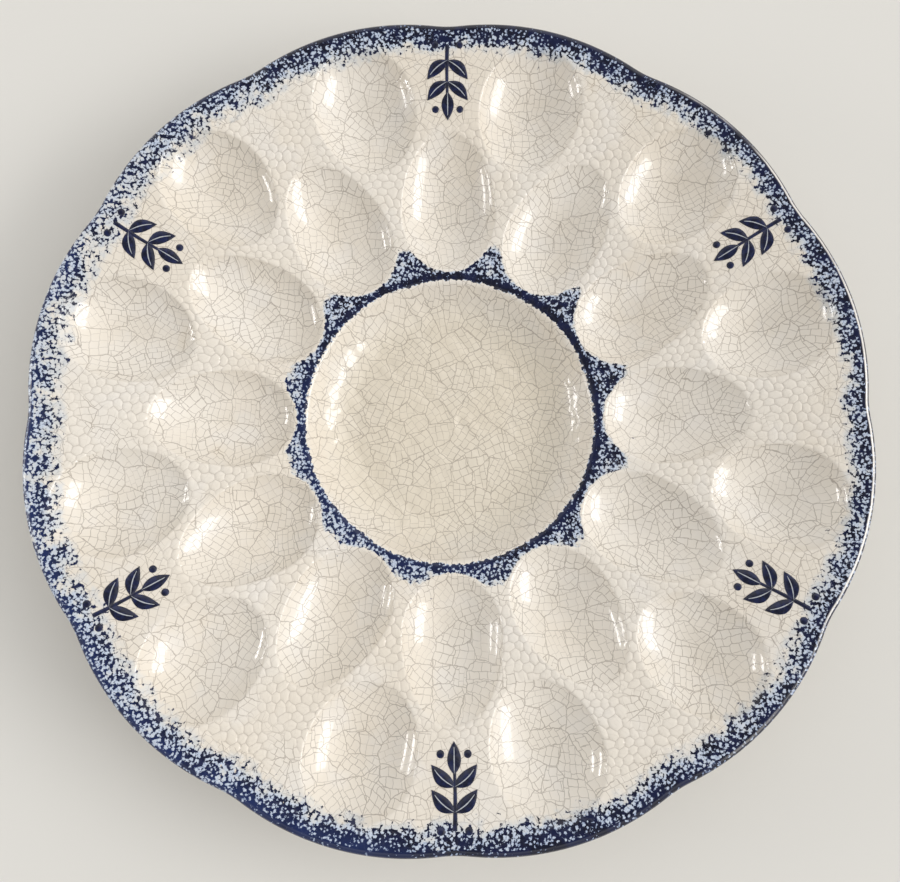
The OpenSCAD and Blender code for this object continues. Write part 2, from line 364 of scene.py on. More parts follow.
def times(tree, a, b):
    return math2(tree, "MULTIPLY", a, b)


def vector2(tree, operation, a, b=(0, 0, 0)):
    node = tree.nodes.new("ShaderNodeVectorMath")
    node.operation = operation
    put(tree, a, node.inputs[0])
    put(tree, b, node.inputs[1])
    return node.outputs["Value" if operation == "LENGTH" else "Vector"]


def ramp(tree, value, fromLow, fromHigh, toLow=0.0, toHigh=1.0, smooth=True):
    node = tree.nodes.new("ShaderNodeMapRange")
    node.interpolation_type = "SMOOTHSTEP" if smooth else "LINEAR"
    for socket, number in zip(("Value", "From Min", "From Max", "To Min", "To Max"),
                              (value, fromLow, fromHigh, toLow, toHigh)):
        put(tree, number, node.inputs[socket])
    return node.outputs["Result"]


def about(tree, value, middle, soft, toLow=0.0, toHigh=1.0):  # a change about a middle value
    return ramp(tree, value, middle - soft, middle + soft, toLow, toHigh)


def noise(tree, vector, size, detail=2.0, rough=0.5, kind="Fac"):  # size is the length of one wave in metres
    node = tree.nodes.new("ShaderNodeTexNoise")
    put(tree, vector, node.inputs["Vector"])
    node.inputs["Scale"].default_value = 1 / size
    node.inputs["Detail"].default_value = detail
    node.inputs["Roughness"].default_value = rough
    return node.outputs[kind]


def cells(tree, vector, size, feature):  # cells seen from above
    node = tree.nodes.new("ShaderNodeTexVoronoi")
    node.voronoi_dimensions, node.feature = "2D", feature
    put(tree, vector, node.inputs["Vector"])
    node.inputs["Scale"].default_value = 1 / size
    return node


def mixColour(tree, factor, a, b, blend="MIX"):
    node = tree.nodes.new("ShaderNodeMix")
    node.data_type, node.blend_type = "RGBA", blend
    put(tree, factor, node.inputs["Factor"])
    put(tree, a, node.inputs[6])
    put(tree, b, node.inputs[7])
    return node.outputs[2]


def placeGroup(tree, name, **values):
    node = tree.nodes.new("ShaderNodeGroup")
    node.node_tree = bpy.data.node_groups[name]
    for title, value in values.items():
        put(tree, value, node.inputs[title])
    return node.outputs


def along(tree, place, direction):  # a slow change across the platter
    node = tree.nodes.new("ShaderNodeVectorMath")
    node.operation = "DOT_PRODUCT"
    put(tree, place, node.inputs[0])
    node.inputs[1].default_value = direction
    return node.outputs["Value"]


def rgb(red, green, blue):  # a colour as read from a screen
    def linear(c):
        c /= 255
        return c / 12.92 if c <= 0.04045 else ((c + 0.055) / 1.055) ** 2.4
    return (linear(red), linear(green), linear(blue), 1)


glaze = {
    "cream": rgb(231, 224, 213), "warm": rgb(228, 219, 205), "cool": rgb(231, 226, 219),
    "stain": rgb(214, 196, 164), "stainSize": 0.034, "stainFrom": (0.66, 0.80),
    "dish": rgb(222, 212, 193), "dishTo": (0.045, 0.060),
    # the first colour is painted shade for the hollows round the stones; the number after it is how dark the
    # cracks along their joints are
    "jointShade": rgb(176, 165, 152), "jointDark": 0.52,
    "crack": rgb(134, 122, 111), "crackDark": 0.60, "crackDeep": 0.035,
    "bends": ((0.009, 0.0034), (0.0026, 0.0011)),  # how the cracks wander: length of the waves and amount
    "mainCell": 0.0090, "strip": 0.0028, "brick": 0.0033,  # long cracks, and the short ones between them
    "mainLine": 0.00013, "fineLine": 0.00010,
    "rough": (0.05, 0.11), "ior": 1.52, "sheen": 0.12, "sheenRough": 0.38, "bump": 0.6,
}


def parts(tree, vector):  # the three numbers of a vector or colour
    node = tree.nodes.new("ShaderNodeSeparateXYZ")
    put(tree, vector, node.inputs[0])
    return node.outputs


def shaken(tree, vector, place, size, amount):  # a place pushed about by noise
    push = vector2(tree, "SUBTRACT", noise(tree, place, size, kind="Color"), (0.5, 0.5, 0.5))
    return vector2(tree, "ADD", vector, vector2(tree, "MULTIPLY", push, (amount, amount, 0)))


def makeCrackle():  # long cracks first, then short ones that run between them like uneven bricks
    g, into, out = newGroup("crackleNet", [("Place", "Vector")], [("Crack", "Float")])
    place = into.outputs["Place"]
    bent = place
    for size, amount in glaze["bends"]:
        bent = shaken(g, bent, place, size, amount)
    mainGap = cells(g, bent, glaze["mainCell"], "DISTANCE_TO_EDGE").outputs["Distance"]
    pick = parts(g, cells(g, bent, glaze["mainCell"], "F1").outputs["Color"])  # three chances per cell
    turned = g.nodes.new("ShaderNodeVectorRotate")
    turned.rotation_type = "Z_AXIS"
    put(g, bent, turned.inputs["Vector"])
    put(g, times(g, pick["X"], 6.3), turned.inputs["Angle"])
    spot = parts(g, turned.outputs["Vector"])
    finer = ramp(g, pick["Z"], 0, 1, 0.75 / glaze["strip"], 1.3 / glaze["strip"], smooth=False)
    across = plus(g, times(g, spot["X"], finer), times(g, pick["Y"], 7.0))
    strip = g.nodes.new("ShaderNodeTexWhiteNoise")
    strip.noise_dimensions = "1D"
    seed = times(g, pick["Y"], 91.0)
    put(g, plus(g, math2(g, "FLOOR", across), seed), strip.inputs["W"])
    length = times(g, spot["Y"], 1 / glaze["brick"])
    length = plus(g, length, times(g, strip.outputs["Value"], 5.0))
    acrossGap = times(g, math2(g, "PINGPONG", across, 0.5), glaze["strip"])
    lengthGap = times(g, math2(g, "PINGPONG", length, 0.5), glaze["brick"])
    fineGap = math2(g, "MINIMUM", acrossGap, lengthGap)
    fade = ramp(g, noise(g, place, 0.014), 0.32, 0.6, 0.45, 1.0)
    mainHalf = glaze["mainLine"] / glaze["mainCell"]
    mainLine = ramp(g, mainGap, mainHalf * 0.55, mainHalf * 1.6, 1, 0)
    fineLine = ramp(g, fineGap, glaze["fineLine"] * 0.45, glaze["fineLine"] * 1.7, 1, 0)
    put(g, math2(g, "MAXIMUM", mainLine, times(g, fineLine, fade)), out.inputs["Crack"])


def makeStoneJoints():  # the packing of the stones again, for their joints
    g, into, out = newGroup("stoneJoints", [("Place", "Vector")], [("Gap", "Float")])
    flat = vector2(g, "MULTIPLY", into.outputs["Place"], (1 / mm, 1 / mm, 0))
    bent = flat
    for amount, kx, ky, start, toX, toY in stone["bends"]:
        push = math2(g, "SINE", plus(g, along(g, flat, (kx, ky, 0)), start))
        bent = vector2(g, "ADD", bent, vector2(g, "MULTIPLY", push, (amount * toX, amount * toY, 0)))
    w, h = stone["step"], stone["step"] * math.sqrt(3)
    near, beside = [], []
    for shift in (0.5, 0.0):
        cell = vector2(g, "ADD", vector2(g, "MULTIPLY", bent, (1 / w, 1 / h, 0)), (shift, shift, 0))
        cell = vector2(g, "SUBTRACT", vector2(g, "FRACTION", cell), (0.5, 0.5, 0))
        cell = vector2(g, "MULTIPLY", vector2(g, "ABSOLUTE", cell), (w, h, 0))
        near.append(vector2(g, "LENGTH", cell))
        beside.append(vector2(g, "LENGTH", vector2(g, "SUBTRACT", cell, (w, 0, 0))))
    first = math2(g, "MINIMUM", *near)
    second = math2(g, "MINIMUM", math2(g, "MAXIMUM", *near), math2(g, "MINIMUM", *beside))
    put(g, times(g, minus(g, second, first), 0.5), out.inputs["Gap"])


def makeGlazeLook():  # cream glaze with its cracks, its slow tones, a few stains and painted shade round the stones
    g, into, out = newGroup("glazeLook", [("Place", "Vector"), ("Stones", "Float")], [
        ("Colour", "Color"), ("Rough", "Float"), ("Height", "Float")])
    place, paved = into.outputs["Place"], ramp(g, into.outputs["Stones"], 0.35, 0.6)
    gap = placeGroup(g, "stoneJoints", Place=place)["Gap"]
    crack = placeGroup(g, "crackleNet", Place=place)["Crack"]
    joints = times(g, ramp(g, gap, 0.05, 0.20, glaze["jointDark"], 0.0), paved)
    crack = plus(g, times(g, crack, ramp(g, paved, 0, 1, 1.0, 0.12)), joints)
    slow = noise(g, place, 0.055)
    patch = noise(g, place, 0.016, 3)
    tone = mixColour(g, ramp(g, slow, 0.35, 0.65), glaze["warm"], glaze["cream"])
    tone = mixColour(g, ramp(g, patch, 0.45, 0.75, 0, 0.6), tone, glaze["cool"])
    middle = vector2(g, "LENGTH", vector2(g, "MULTIPLY", place, (1, 1, 0)))
    tone = mixColour(g, ramp(g, middle, *glaze["dishTo"], 0.7, 0), tone, glaze["dish"])
    elsewhere = vector2(g, "ADD", place, (0.31, 0.12, 0))
    stain = ramp(g, noise(g, elsewhere, glaze["stainSize"]), *glaze["stainFrom"])
    stain = times(g, stain, ramp(g, crack, 0, 1, 0.25, 0.9))
    stain = times(g, stain, ramp(g, middle, 0.050, 0.066))
    tone = mixColour(g, stain, tone, glaze["stain"])
    # painted shade: the glaze is darkened in the hollows round each stone, where less light falls
    tone = mixColour(g, times(g, ramp(g, gap, 0.0, 0.9, 0.10, 0.0), paved), tone, glaze["jointShade"])
    dark = times(g, crack, glaze["crackDark"])
    put(g, mixColour(g, dark, tone, glaze["crack"]), out.inputs["Colour"])
    put(g, ramp(g, patch, 0.3, 0.7, *glaze["rough"]), out.inputs["Rough"])
    height = times(g, noise(g, place, 0.0045), 0.05)  # the slight orange peel of a fired glaze
    height = minus(g, height, times(g, crack, glaze["crackDeep"]))
    dome = times(g, ramp(g, gap, 0.0, 0.8, 0.0, 0.10), paved)
    put(g, plus(g, height, dome), out.inputs["Height"])


sponge = {
    "ink": rgb(8, 13, 36), "navy": rgb(14, 23, 60), "blue": rgb(30, 48, 98), "mid": rgb(112, 132, 172),
    "pale": rgb(198, 208, 223), "wash": rgb(206, 210, 213),
    "fine": 0.0009, "cell": 0.0016, "clump": 0.005, "dust": 0.0006,  # sizes of what makes up a dab
    "weights": (0.42, 0.75, 0.42),  # cells, fine grain and clumps
    "levels": (0.823, 0.472),  # the grain is dark above this level, at densities of 0 and 1.5
}


def makeSponge():  # a net of cobalt strokes round pale cells, closer where the density is high
    g, into, out = newGroup("spongeDabs", [
        ("Place", "Vector"), ("Density", "Float"), ("Thin", "Float"),
        ("Ground", "Color")], [("Colour", "Color")])
    place, density, thin = into.outputs["Place"], into.outputs["Density"], into.outputs["Thin"]
    size = sponge["cell"]
    shake = vector2(g, "MULTIPLY", noise(g, place, size, kind="Color"), (size, size, 0))
    border = cells(g, vector2(g, "ADD", place, shake), sponge["cell"], "F1").outputs["Distance"]
    fine = noise(g, place, sponge["fine"], 3, 0.62)
    clumps = noise(g, vector2(g, "ADD", place, (0.4, 0.1, 0)), sponge["clump"], 3)
    shares = [times(g, part, w) for part, w in zip((border, fine, clumps), sponge["weights"])]
    grain = plus(g, plus(g, shares[0], shares[1]), shares[2])
    level = ramp(g, density, 0, 1.5, *sponge["levels"], smooth=False)
    level = plus(g, level, ramp(g, density, 0, 0.13, 0.26, 0.0))
    over = minus(g, grain, level)
    dark = ramp(g, over, -0.015, 0.018)
    middle = ramp(g, over, -0.12, 0.0)
    stray = times(g, density, ramp(g, clumps, 0.3, 0.7, 0.3, 1.7, smooth=False))
    dust = noise(g, vector2(g, "ADD", place, (0.2, 0.7, 0)), sponge["dust"])
    dust = times(g, ramp(g, dust, 0.50, 0.64), ramp(g, stray, 0.08, 0.35, 0.0, 0.55))
    under = mixColour(g, ramp(g, stray, 0.02, 0.14, 0.0, 0.85), into.outputs["Ground"], sponge["wash"])
    under = mixColour(g, ramp(g, stray, 0.10, 0.30), under, sponge["pale"])
    middle = times(g, middle, ramp(g, density, 0.25, 0.7, 0.1, 0.8))
    under = mixColour(g, middle, under, sponge["mid"])
    under = mixColour(g, dust, under, sponge["mid"])
    pools = ramp(g, noise(g, place, 0.006), 0.35, 0.62)
    paint = mixColour(g, pools, sponge["navy"], sponge["ink"])
    paint = mixColour(g, thin, paint, sponge["blue"])
    put(g, mixColour(g, dark, under, paint), out.inputs["Colour"])


def newMaterial(name):
    material = bpy.data.materials.new(name)
    material.use_nodes = True
    tree = material.node_tree
    shader = tree.nodes["Principled BSDF"]
    place = tree.nodes.new("ShaderNodeTexCoord").outputs["Object"]
    return material, tree, shader, place


def bumpy(tree, shader, height, strength, distance):
    bump = tree.nodes.new("ShaderNodeBump")
    bump.inputs["Strength"].default_value = strength
    bump.inputs["Distance"].default_value = distance
    put(tree, height, bump.inputs["Height"])
    put(tree, bump.outputs["Normal"], shader.inputs["Normal"])


def glossy(tree, shader, look, colour):  # the clear glaze that lies over every colour
    put(tree, colour, shader.inputs["Base Color"])
    put(tree, look["Rough"], shader.inputs["Roughness"])
    shader.inputs["IOR"].default_value = glaze["ior"]
    shader.inputs["Coat Weight"].default_value = glaze["sheen"]
    shader.inputs["Coat Roughness"].default_value = glaze["sheenRough"]
    bumpy(tree, shader, look["Height"], glaze["bump"], mm)


def attribute(tree, name):
    node = tree.nodes.new("ShaderNodeAttribute")
    node.attribute_type, node.attribute_name = "GEOMETRY", name
    return node.outputs["Fac"]


def makeCrackleGlaze():
    material, tree, shader, place = newMaterial("crackleGlaze")
    look = placeGroup(tree, "glazeLook", Place=place, Stones=attribute(tree, "stones"))
    glossy(tree, shader, look, look["Colour"])
    return material


rimLook = {
    "solid": 4.0, "width": 13.5, "lean": (-7, 1, 0),  # where it thins out, and how much wider on one side
    "wander": (0.035, 6.0), "ragged": (0.006, 5.0),  # its inner edge: length of the waves and amount
    "uneven": 0.4,  # how much wider it is between the four quarters
    "dense": (0.42, 0.11, -0.12, 0.06),  # its density, and the swings once, twice and four times round
    "denser": (0.02, 0.05),  # the same for the swings that start a quarter further round
    "specks": 0.09, "specksW": 3.0,  # density of the loose specks beyond it
    "thinSide": (-3.0, -1.2, 0), "thin": 0.7,  # where the cobalt is brighter
    "line": (2.2, 0.8), "lineRagged": (0.004, 3.0), "lineFull": 0.55,  # the dark edge: width and softness
    "wearAndHighlight": (48, 4), "wearAndHighlightTo": (70, 5), "wearAndHighlightRagged": (0.005, 14.0),  # turns of the lip painted white: partly wear to the body, partly a painted highlight
    "wearAndHighlightSide": (6.0, 0, 0), "wearAndHighlightOther": -0.6,  # strongest on the right, facing the lamp, and less so on the left
}


def spread(tree, place, size, amount=1.0, detail=2.0):  # noise around zero
    push = minus(tree, noise(tree, place, size, detail), 0.5)
    return times(tree, push, amount)


def spongeAcross(tree, place):  # density of the sponging from the lip inwards
    stray = plus(tree, spread(tree, place, *rimLook["wander"]), spread(tree, place, *rimLook["ragged"]))
    reach = plus(tree, attribute(tree, "reach"), stray)
    reach = minus(tree, reach, along(tree, place, rimLook["lean"]))
    fall = ramp(tree, reach, rimLook["solid"], rimLook["width"], 1.0, 0.0)
    specks = about(tree, reach, rimLook["width"], rimLook["specksW"], rimLook["specks"], 0.0)
    patch = ramp(tree, noise(tree, place, 0.011), 0.3, 0.7, 0.65, 1.35, smooth=False)
    full = times(tree, attribute(tree, "dense"), patch)
    return math2(tree, "MAXIMUM", times(tree, fall, full), specks)


def thinAcross(tree, place):  # where the cobalt is thin and bright
    side = plus(tree, along(tree, place, rimLook["thinSide"]), spread(tree, place, 0.016))
    nearLip = ramp(tree, attribute(tree, "inset"), 3.0, 8.0, 1.0, 0.25)
    return times(tree, ramp(tree, side, 0.0, 0.6, 0.0, rimLook["thin"]), nearLip)


def sponged(tree, place, look, density, thin):
    dabs = placeGroup(tree, "spongeDabs", Place=place, Density=density, Thin=thin, Ground=look["Colour"])
    return dabs["Colour"]


def makeRimSponge():  # sponging that thins out over the land
    material, tree, shader, place = newMaterial("rimSponge")
    look = placeGroup(tree, "glazeLook", Place=place)
    dabs = sponged(tree, place, look, spongeAcross(tree, place), thinAcross(tree, place))
    glossy(tree, shader, look, dabs)
    return material


def makeRimLine():  # the sponging closes into a dark edge; along the lip runs a white line that is partly wear to the white body and partly a painted highlight
    material, tree, shader, place = newMaterial("rimLine")
    look = placeGroup(tree, "glazeLook", Place=place)
    edge = plus(tree, attribute(tree, "inset"), spread(tree, place, *rimLook["lineRagged"]))
    solid = about(tree, edge, *rimLook["line"], rimLook["lineFull"], 0.0)
    strong = plus(tree, attribute(tree, "dense"), spread(tree, place, 0.03))
    solid = times(tree, solid, ramp(tree, strong, 0.25, 0.60, 0.15, 1.0))
    density = plus(tree, spongeAcross(tree, place), solid)
    dabs = sponged(tree, place, look, density, thinAcross(tree, place))
    turn = plus(tree, attribute(tree, "turn"), spread(tree, place, *rimLook["wearAndHighlightRagged"]))
    # painted highlight along the rounded lip, mixed with wear to the white body, strongest on the lamp side
    wearAndHighlight = times(tree, about(tree, turn, *rimLook["wearAndHighlight"]), about(tree, turn, *rimLook["wearAndHighlightTo"], 1.0, 0.0))
    sides = along(tree, place, rimLook["wearAndHighlightSide"])
    sides = math2(tree, "MAXIMUM", sides, times(tree, sides, rimLook["wearAndHighlightOther"]))
    sides = ramp(tree, plus(tree, sides, spread(tree, place, 0.04)), 0.6, 0.95, 0.0, 0.95)
    wearAndHighlight = times(tree, wearAndHighlight, sides)
    glossy(tree, shader, look, mixColour(tree, wearAndHighlight, dabs, glaze["cool"]))
    return material


collarLook = {
    "inner": 60.5, "innerSoft": 0.4, "line": 1.9, "wider": (1.5, 6, 0),  # the dark line, wider on one side
    "full": 0.96, "fuller": (4.5, 3.0, 0),  # its density, and how that grows towards one side
    "tongueEnd": 72.6, "longer": (46, 40, 0), "tongueFull": 0.37, "tongueFuller": (0.2, 0.5, 0),
    "wander": (0.03, 1.8, 1), "ragged": (0.0019, 3.4, 3),  # uneven edges: length of the waves, amount, detail
    "thinSide": (-5.0, -4.0, 0), "thin": 0.4,  # where the cobalt is brighter
}


def makeCollarPaint(name):  # a dark line on the crest, and dabs on the land behind it that end at the wells
    material, tree, shader, place = newMaterial(name)
    look = placeGroup(tree, "glazeLook", Place=place)
    flat = vector2(tree, "LENGTH", vector2(tree, "MULTIPLY", place, (1 / mm, 1 / mm, 0)))
    wander = spread(tree, place, *collarLook["wander"])
    ragged = spread(tree, place, *collarLook["ragged"])
    radius = plus(tree, flat, plus(tree, wander, ragged))
    start = about(tree, radius, collarLook["inner"], collarLook["innerSoft"])
    full = plus(tree, along(tree, place, collarLook["fuller"]), collarLook["full"])
    beyond = minus(tree, radius, along(tree, place, collarLook["wider"]))
    outer = collarLook["inner"] + collarLook["line"]
    tongues = plus(tree, along(tree, place, collarLook["tongueFuller"]), collarLook["tongueFull"])
    line = ramp(tree, beyond, outer - 0.7, outer + 1.6, full, tongues)
    reach = plus(tree, radius, ragged)
    reach = minus(tree, reach, along(tree, place, collarLook["longer"]))
    end = ramp(tree, reach, collarLook["tongueEnd"] - 4, collarLook["tongueEnd"] + 2.5, 1.0, 0.0)
    onLand = plus(tree, attribute(tree, "gap"), times(tree, ragged, 0.6))
    onLand = times(tree, end, ramp(tree, onLand, -0.4, 1.4))
    density = times(tree, times(tree, start, line), onLand)
    thin = ramp(tree, along(tree, place, collarLook["thinSide"]), 0.05, 0.4, 0.0, collarLook["thin"])
    glossy(tree, shader, look, sponged(tree, place, look, density, thin))
    return material


brush = {
    "paint": rgb(11, 16, 40), "thin": rgb(22, 31, 70), "pool": 0.0022,
    "vein": rgb(196, 200, 205), "veinW": (0.09, 0.14), "scratch": (0.0012, 0.08),  # half width, and its waves
}


def makeCobaltBrush():  # brush strokes that pool at their edges, with scratched veins
    material, tree, shader, place = newMaterial("cobaltBrush")
    look = placeGroup(tree, "glazeLook", Place=place)
    pool = ramp(tree, noise(tree, place, brush["pool"]), 0.35, 0.7)
    paint = mixColour(tree, pool, brush["paint"], brush["thin"])
    size, amount = brush["scratch"]
    scratch = times(tree, noise(tree, place, size), amount)
    vein = plus(tree, attribute(tree, "across"), scratch)
    vein = ramp(tree, vein, *brush["veinW"], 0.85, 0.0)
    glossy(tree, shader, look, mixColour(tree, vein, paint, brush["vein"]))
    return material


clay = {
    "body": rgb(226, 216, 198), "speck": rgb(176, 150, 120), "grain": 0.0012,
    "rough": (0.62, 0.85), "bump": 0.5, "bumpH": 0.0004,
}


def makeBareClay():
    material, tree, shader, place = newMaterial("bareClay")
    grain = noise(tree, place, clay["grain"], 4, 0.65)
    colour = mixColour(tree, ramp(tree, grain, 0.55, 0.75), clay["body"], clay["speck"])
    put(tree, colour, shader.inputs["Base Color"])
    put(tree, ramp(tree, grain, 0.3, 0.7, *clay["rough"]), shader.inputs["Roughness"])
    bumpy(tree, shader, grain, clay["bump"], clay["bumpH"])
    return material


makeCrackle()
makeStoneJoints()
makeGlazeLook()
makeSponge()
crackleGlaze = makeCrackleGlaze()
rimSponge = makeRimSponge()
rimLine = makeRimLine()
collarLine = makeCollarPaint("collarLine")
collarSponge = makeCollarPaint("collarSponge")
cobaltBrush = makeCobaltBrush()
bareClay = makeBareClay()
print("glaze and colours ready")


# the two rings of cups

ringMesh = {
    "segments": 1080, "innerRows": 62, "outerRows": 46, "bandRows": 18, "lipRows": 9, "underRows": 18,
    "bandW": 16.0,  # closer rows along the rim, where the colour lies
}


def ringPiece(name, startOf, stopOf, topRows, toLip, nodes):
    # rows run out over the upper face, round the edge or down the joint, and back along the underside
    shares = list(np.linspace(0, 1, topRows))
    lips = list(np.linspace(math.pi / 2, -math.pi / 2, ringMesh["lipRows"] + 2))[1:-1] if toLip else []
    band = list(np.linspace(0, 1, ringMesh["bandRows"] + 1))[1:] if toLip else []
    under = list(np.linspace(1, 0, ringMesh["underRows"]))
    counts = np.cumsum([len(shares), len(band), len(lips), len(under)])
    bm, row, theta = wrappedGrid(int(counts[-1]), ringMesh["segments"])
    start, stop = startOf(theta), stopOf(theta)
    table = np.array(shares + band + lips + under)
    value = table[row]
    edge = lipStart(theta) if toLip else stop
    r = np.where(row < counts[0], start + (stop - start) * value,
                 np.where(row < counts[1], stop + (edge - stop) * value, start + (edge - start) * value))
    onTop = (row < counts[1]).astype(float)
    onLip = (row >= counts[1]) & (row < counts[2])
    r = np.where(onLip, edge, r)
    x, y = r * np.cos(theta), r * np.sin(theta)
    places = np.where((row < counts[1])[:, None], topPoint(x, y), underPoint(x, y))
    if toLip:
        places = np.where(onLip[:, None], lipPoint(theta, np.where(onLip, value, 0)), places)
    paved = stoneLand(x, y, wellDepth(x, y)) * onTop
    settle(name, bm, places, np.stack([x, y], 1), onTop, crackleGlaze, nodes,
           {"stones": paved})


ringPiece("innerEggRing", circle(casting["splitR"]), waveRadius,
          ringMesh["innerRows"], False, ["inner_egg_ring"])
ringPiece("outerEggRing", waveRadius, insideRim(ringMesh["bandW"]),
          ringMesh["outerRows"], True, ["outer_egg_ring"])


# the dish in the middle

dishMesh = {"segments": 480, "topRows": 96, "underRows": 30}


def dishPiece():
    rows = dishMesh["topRows"] + dishMesh["underRows"]
    bm, row, theta = wrappedGrid(rows, dishMesh["segments"])
    table = np.concatenate([np.linspace(0, 1, dishMesh["topRows"]), np.linspace(1, 0, dishMesh["underRows"])])
    r = casting["splitR"] * table[row]
    x, y = r * np.cos(theta), r * np.sin(theta)
    onTop = row < dishMesh["topRows"]
    places = np.where(onTop[:, None], topPoint(x, y), underPoint(x, y))
    settle("dipDish", bm, places, np.stack([x, y], 1), onTop.astype(float), crackleGlaze,
           ["dip_dish"])


dishPiece()


# the foot ring under the dish

foot = {"r": 46.0, "w": 6.0, "round": 0.8, "segments": 180, "sink": 0.6, "crisp": 40}


def footPiece():
    bm = bmesh.new()
    inner, outer = foot["r"] - foot["w"] / 2, foot["r"] + foot["w"] / 2
    high = [float(underPoint(np.array([r]), np.array([0.0]))[0, 2]) + foot["sink"] for r in (inner, outer)]
    corners = [(inner, high[0]), (inner, 0), (outer, 0), (outer, high[1])]
    line = [bm.verts.new((r * mm, 0, z * mm)) for r, z in corners]
    edges = [bm.edges.new((line[i - 1], line[i])) for i in range(4)]
    bmesh.ops.spin(bm, geom=line + edges, cent=(0, 0, 0), axis=(0, 0, 1), dvec=(0, 0, 0), angle=2 * math.pi,
                   steps=foot["segments"], use_merge=True, use_normal_flip=False, use_duplicate=False)
    bmesh.ops.recalc_face_normals(bm, faces=bm.faces[:])
    low = [e for e in bm.edges if all(abs(v.co.z) < 1e-7 for v in e.verts) and e.calc_face_angle() > 1]
    bmesh.ops.bevel(bm, geom=low, offset=foot["round"] * mm, affect="EDGES", segments=4, profile=0.5,
                    material=-1)
    shade(bm, foot["crisp"])
    mesh = meshOf("footRing", bm)
    piece = newObject("footRing", mesh)
    mesh.materials.append(bareClay)
    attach(piece, "root")
    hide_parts("foot_ring")
    print("footRing stands on the table")


footPiece()


# colour on the rim and the collar: thin skins that lie on the casting

skin = {
    "over": 0.07, "under": 0.15,  # how far they stand above the glaze and reach into it
    "segments": 900, "rimRows": 20, "lineRows": 8, "lipRows": 18, "collarRows": 16,
    "bandW": 15.5, "lineW": 3.6, "lipTurns": (80, -35), "collarIn": 58.6, "collarOut": 65.4,
}


def skinRing(name, innerOf, outerOf, rows, material, node, lipTurns=()):
    total = 2 * (rows + len(lipTurns))
    bm, row, theta = wrappedGrid(total, skin["segments"])
    upper = row < total // 2
    step = np.where(upper, row, total - 1 - row)
    share = np.minimum(step / (rows - 1), 1)
    inner, outer = innerOf(theta), outerOf(theta)
    r = inner + (outer - inner) * share
    x, y = r * np.cos(theta), r * np.sin(theta)
    lift = np.where(upper, skin["over"], -skin["under"])
    onLip = step >= rows
    places = topPoint(x, y, lift)
    if len(lipTurns):
        turns = np.array(lipTurns)[np.clip(step - rows, 0, len(lipTurns) - 1)]
        places = np.where(onLip[:, None], lipPoint(theta, turns, lift), places)
    inset = np.where(onLip, 0.0, rimRadius(theta) - r)
    turn = np.degrees(turns) * onLip + 90.0 * ~onLip if len(lipTurns) else np.full_like(r, 90.0)
    dense = sum(c * np.cos(n * theta) for c, n in zip(rimLook["dense"], (0, 1, 2, 4)))
    dense = dense + sum(c * np.sin(n * theta) for c, n in zip(rimLook["denser"], (1, 2)))
    reach = inset + rimLook["uneven"] * np.cos(4 * theta)
    marks = {"inset": inset, "reach": reach, "gap": wellGap(x, y), "turn": turn, "dense": dense}
    onTop = (upper & ~onLip).astype(float)
    settle(name, bm, places, np.stack([x, y], 1), onTop, material, [node], marks)


skinRing("rimSpongeBand", insideRim(skin["bandW"]), insideRim(skin["lineW"]),
         skin["rimRows"], rimSponge, "rim_sponge_band")
skinRing("rimEdgeLine", insideRim(skin["lineW"]), lipStart,
         skin["lineRows"], rimLine, "rim_edge_line",
         list(np.radians(np.linspace(*skin["lipTurns"], skin["lipRows"]))))
skinRing("collarEdgeLine", circle(skin["collarIn"]), circle(skin["collarOut"]),
         skin["collarRows"], collarLine, "collar_edge_line")


# sponged tongues between the inner wells

tongue = {
    "count": 12, "innerR": skin["collarOut"], "outerR": 79.0, "halfTurn": 9.6,
    "alongRows": 26, "acrossRows": 24,
}


def gridSkin(bm, alongRows, acrossRows):  # a flat sheet with thickness, from -1 to 1 both ways
    made = bmesh.ops.create_grid(bm, x_segments=alongRows, y_segments=acrossRows, size=1)
    faces = list(dict.fromkeys(f for v in made["verts"] for f in v.link_faces))
    lifted = bmesh.ops.extrude_face_region(bm, geom=faces)
    upper = [g for g in lifted["geom"] if isinstance(g, bmesh.types.BMVert)]
    return made["verts"] + upper, set(upper)


def tonguePieces():
    bm = bmesh.new()
    plan, isTop = {}, {}
    for k in range(tongue["count"]):
        middle = (k + 0.5) * turn12
        verts, upper = gridSkin(bm, tongue["alongRows"], tongue["acrossRows"])
        for v in verts:
            r = tongue["innerR"] + (tongue["outerR"] - tongue["innerR"]) * (v.co.x + 1) / 2
            theta = middle + math.radians(tongue["halfTurn"]) * v.co.y
            plan[v] = (r * math.cos(theta), r * math.sin(theta))
            isTop[v] = 1.0 if v in upper else 0.0
    bm.verts.index_update()
    flat = np.array([plan[v] for v in bm.verts])
    top = np.array([isTop[v] for v in bm.verts])
    places = topPoint(flat[:, 0], flat[:, 1], np.where(top > 0.5, skin["over"], -skin["under"]))
    settle("collarSpongeTongues", bm, places, flat, top, collarSponge,
           ["collar_sponge_tongues"], {"gap": wellGap(flat[:, 0], flat[:, 1])})


tonguePieces()


# leaf sprigs on the lands

sprig = {
    "count": 6, "startR": 158.38, "lift": 0.12, "rise": 0.22,  # how far a stroke stands up, and its dome
    "stemL": 20.5, "stemOver": 1.5, "stemW": 1.4, "stemTaper": 0.5, "stemSway": 0.25, "stemDome": 0.8,
    "stemRows": 40, "stemAcross": 4,
    "leafL": 11.5, "leafW": 5.2, "lean": 48.0, "pairs": (0.3, 0.72), "leafRows": 28, "leafAcross": 10,
    "leafBend": 0.9, "belly": (0.85, 0.9), "veinEnd": 0.82,
    "tipShare": 0.02, "apart": 0.1,  # a leaf ends in a narrow edge, and keeps off its twin
    "berryD": 3.0, "berryOff": 5.2, "berryAlong": (0.0, 26.25), "berryLift": 0.05, "berryRise": 0.3,
}


